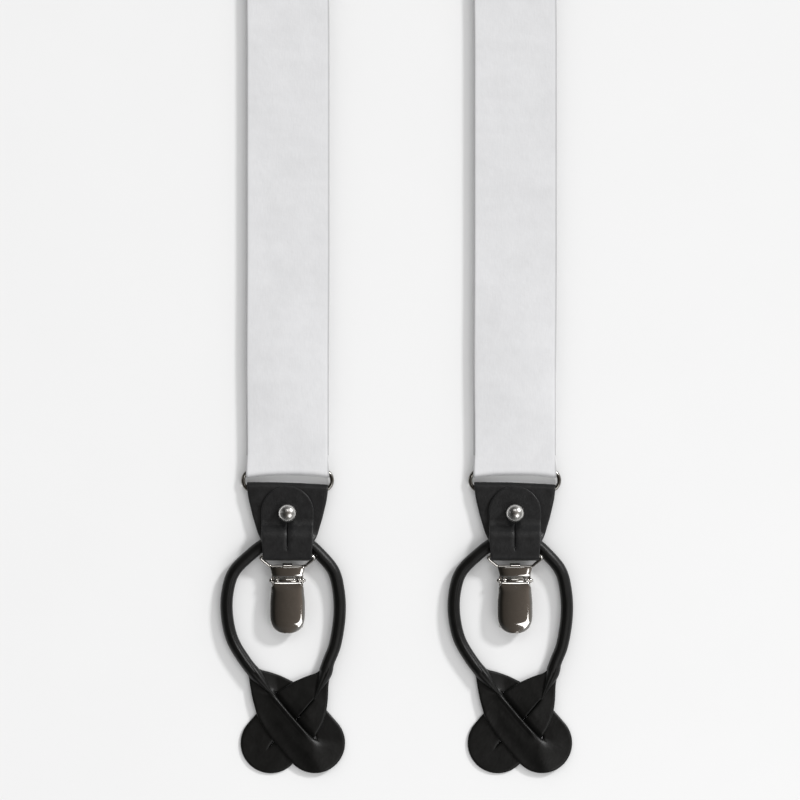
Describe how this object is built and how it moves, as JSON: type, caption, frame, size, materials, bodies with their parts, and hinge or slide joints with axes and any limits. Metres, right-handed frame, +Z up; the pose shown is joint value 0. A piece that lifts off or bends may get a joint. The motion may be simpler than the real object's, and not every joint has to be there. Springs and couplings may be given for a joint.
{
  "type": "suspenders",
  "caption": "Satin suspenders laid flat: front straps and a back strap in a leather patch, each ending in a ring, leather button loop, ball stud and removable clip.",
  "frame": {"origin": "middle of the underside of the leather patch, on the surface that the suspenders lie on", "axes": "+Y from the front ends towards the back end, +Z up from the surface, +X to the wearer's left as laid face up"},
  "size_m": [0.1519, 0.9142, 0.0122],
  "materials": {
    "satin_webbing": "fine white satin ribbon weave with a soft sheen",
    "black_leather": "smooth rolled black leather with a soft gloss",
    "grained_leather": "black leather with fine grain and cut edges",
    "polished_nickel": "polished nickel plate",
    "dark_nickel": "dark nickel plated wire",
    "black_rubber": "matt grip pad"
  },
  "bodies": {
    "root": {"patch_inner_leather": "grained_leather", "patch_outer_leather": "grained_leather", "left_strap": "satin_webbing", "right_strap": "satin_webbing", "back_strap": "satin_webbing", "left_strap_return": "satin_webbing", "right_strap_return": "satin_webbing"},
    "left_ring": {"left_strap_ring": "dark_nickel"},
    "left_tab": {"left_tab": "grained_leather", "left_clip_tongue": "grained_leather", "left_ball_stud": "polished_nickel", "left_stud_rivet": "polished_nickel"},
    "left_loop": {"left_loop_cord": "black_leather", "left_paddle_left": "black_leather", "left_paddle_right": "black_leather"},
    "left_link": {"left_clip_link": "polished_nickel"},
    "left_clip": {"left_clip_body": "polished_nickel", "left_clip_pin": "polished_nickel", "left_body_pad": "black_rubber"},
    "left_lever": {"left_clip_lever": "polished_nickel"},
    "left_jaw": {"left_clip_jaw": "polished_nickel", "left_jaw_pad": "black_rubber"},
    "right_ring": {"right_strap_ring": "dark_nickel"},
    "right_tab": {"right_tab": "grained_leather", "right_clip_tongue": "grained_leather", "right_ball_stud": "polished_nickel", "right_stud_rivet": "polished_nickel"},
    "right_loop": {"right_loop_cord": "black_leather", "right_paddle_left": "black_leather", "right_paddle_right": "black_leather"},
    "right_link": {"right_clip_link": "polished_nickel"},
    "right_clip": {"right_clip_body": "polished_nickel", "right_clip_pin": "polished_nickel", "right_body_pad": "black_rubber"},
    "right_lever": {"right_clip_lever": "polished_nickel"},
    "right_jaw": {"right_clip_jaw": "polished_nickel", "right_jaw_pad": "black_rubber"},
    "back_ring": {"back_strap_ring": "dark_nickel"},
    "back_tab": {"back_tab": "grained_leather", "back_clip_tongue": "grained_leather", "back_ball_stud": "polished_nickel", "back_stud_rivet": "polished_nickel"},
    "back_loop": {"back_loop_cord": "black_leather", "back_paddle_left": "black_leather", "back_paddle_right": "black_leather"},
    "back_link": {"back_clip_link": "polished_nickel"},
    "back_clip": {"back_clip_body": "polished_nickel", "back_clip_pin": "polished_nickel", "back_body_pad": "black_rubber"},
    "back_lever": {"back_clip_lever": "polished_nickel"},
    "back_jaw": {"back_clip_jaw": "polished_nickel", "back_jaw_pad": "black_rubber"},
    "left_slider": {"left_slider_frame": "polished_nickel", "left_slider_pin": "polished_nickel"},
    "left_slider_lever": {"left_slider_lever": "polished_nickel"},
    "right_slider": {"right_slider_frame": "polished_nickel", "right_slider_pin": "polished_nickel"},
    "right_slider_lever": {"right_slider_lever": "polished_nickel"}
  },
  "joints": [
    {"name": "left_ring_swing", "type": "hinge", "parent": "root", "child": "left_ring", "pos_m": [-0.0489, -0.4879, 0.0022], "axis": [-1, 0, 0], "range_deg": [-45, 45]},
    {"name": "left_tab_swing", "type": "hinge", "parent": "left_ring", "child": "left_tab", "pos_m": [-0.0489, -0.4969, 0.0022], "axis": [-1, 0, 0], "range_deg": [-45, 45]},
    {"name": "left_loop_swing", "type": "hinge", "parent": "left_tab", "child": "left_loop", "pos_m": [-0.0489, -0.5184, 0.0038], "axis": [-1, 0, 0], "range_deg": [-20, 20], "deforming": ["left_loop_cord"]},
    {"name": "left_link_swing", "type": "hinge", "parent": "left_tab", "child": "left_link", "pos_m": [-0.0489, -0.5248, 0.00698], "axis": [-1, 0, 0], "range_deg": [-40, 35]},
    {"name": "left_clip_swing", "type": "hinge", "parent": "left_link", "child": "left_clip", "pos_m": [-0.0489, -0.5294, 0.0053], "axis": [-1, 0, 0], "range_deg": [-40, 35]},
    {"name": "left_lever_flip", "type": "hinge", "parent": "left_clip", "child": "left_lever", "pos_m": [-0.0489, -0.5354, 0.0056], "axis": [-1, 0, 0], "range_deg": [0, 100]},
    {"name": "left_jaw_open", "type": "hinge", "parent": "left_clip", "child": "left_jaw", "pos_m": [-0.0489, -0.5354, 0.0056], "axis": [-1, 0, 0], "range_deg": [0, 18.5]},
    {"name": "right_ring_swing", "type": "hinge", "parent": "root", "child": "right_ring", "pos_m": [0.0489, -0.4879, 0.0022], "axis": [-1, 0, 0], "range_deg": [-45, 45]},
    {"name": "right_tab_swing", "type": "hinge", "parent": "right_ring", "child": "right_tab", "pos_m": [0.0489, -0.4969, 0.0022], "axis": [-1, 0, 0], "range_deg": [-45, 45]},
    {"name": "right_loop_swing", "type": "hinge", "parent": "right_tab", "child": "right_loop", "pos_m": [0.0489, -0.5184, 0.0038], "axis": [-1, 0, 0], "range_deg": [-20, 20], "deforming": ["right_loop_cord"]},
    {"name": "right_link_swing", "type": "hinge", "parent": "right_tab", "child": "right_link", "pos_m": [0.0489, -0.5248, 0.00698], "axis": [-1, 0, 0], "range_deg": [-40, 35]},
    {"name": "right_clip_swing", "type": "hinge", "parent": "right_link", "child": "right_clip", "pos_m": [0.0489, -0.5294, 0.0053], "axis": [-1, 0, 0], "range_deg": [-40, 35]},
    {"name": "right_lever_flip", "type": "hinge", "parent": "right_clip", "child": "right_lever", "pos_m": [0.0489, -0.5354, 0.0056], "axis": [-1, 0, 0], "range_deg": [0, 100]},
    {"name": "right_jaw_open", "type": "hinge", "parent": "right_clip", "child": "right_jaw", "pos_m": [0.0489, -0.5354, 0.0056], "axis": [-1, 0, 0], "range_deg": [0, 18.5]},
    {"name": "back_ring_swing", "type": "hinge", "parent": "root", "child": "back_ring", "pos_m": [0, 0.1635, 0.0022], "axis": [1, 0, 0], "range_deg": [-45, 45]},
    {"name": "back_tab_swing", "type": "hinge", "parent": "back_ring", "child": "back_tab", "pos_m": [0, 0.1725, 0.0022], "axis": [1, 0, 0], "range_deg": [-45, 45]},
    {"name": "back_loop_swing", "type": "hinge", "parent": "back_tab", "child": "back_loop", "pos_m": [0, 0.194, 0.0038], "axis": [1, 0, 0], "range_deg": [-20, 20], "deforming": ["back_loop_cord"]},
    {"name": "back_link_swing", "type": "hinge", "parent": "back_tab", "child": "back_link", "pos_m": [0, 0.2004, 0.00698], "axis": [1, 0, 0], "range_deg": [-40, 35]},
    {"name": "back_clip_swing", "type": "hinge", "parent": "back_link", "child": "back_clip", "pos_m": [0, 0.205, 0.0053], "axis": [1, 0, 0], "range_deg": [-40, 35]},
    {"name": "back_lever_flip", "type": "hinge", "parent": "back_clip", "child": "back_lever", "pos_m": [0, 0.211, 0.0056], "axis": [1, 0, 0], "range_deg": [0, 100]},
    {"name": "back_jaw_open", "type": "hinge", "parent": "back_clip", "child": "back_jaw", "pos_m": [0, 0.211, 0.0056], "axis": [1, 0, 0], "range_deg": [0, 18.5]},
    {"name": "left_slider_slide", "type": "slide", "parent": "root", "child": "left_slider", "axis": [0, -1, 0], "range_m": [0, 0.13], "deforming": ["left_strap_return"]},
    {"name": "left_slider_lever_flip", "type": "hinge", "parent": "left_slider", "child": "left_slider_lever", "pos_m": [-0.0489, -0.2514, 0.0063], "axis": [-1, 0, 0], "range_deg": [0, 95]},
    {"name": "right_slider_slide", "type": "slide", "parent": "root", "child": "right_slider", "axis": [0, -1, 0], "range_m": [0, 0.13], "deforming": ["right_strap_return"]},
    {"name": "right_slider_lever_flip", "type": "hinge", "parent": "right_slider", "child": "right_slider_lever", "pos_m": [0.0489, -0.2514, 0.0063], "axis": [-1, 0, 0], "range_deg": [0, 95]}
  ],
  "couplings": [
    {"joint": "left_jaw_open", "follows": "left_lever_flip", "ratio": 0.18},
    {"joint": "right_jaw_open", "follows": "right_lever_flip", "ratio": 0.18},
    {"joint": "back_jaw_open", "follows": "back_lever_flip", "ratio": 0.18}
  ]
}
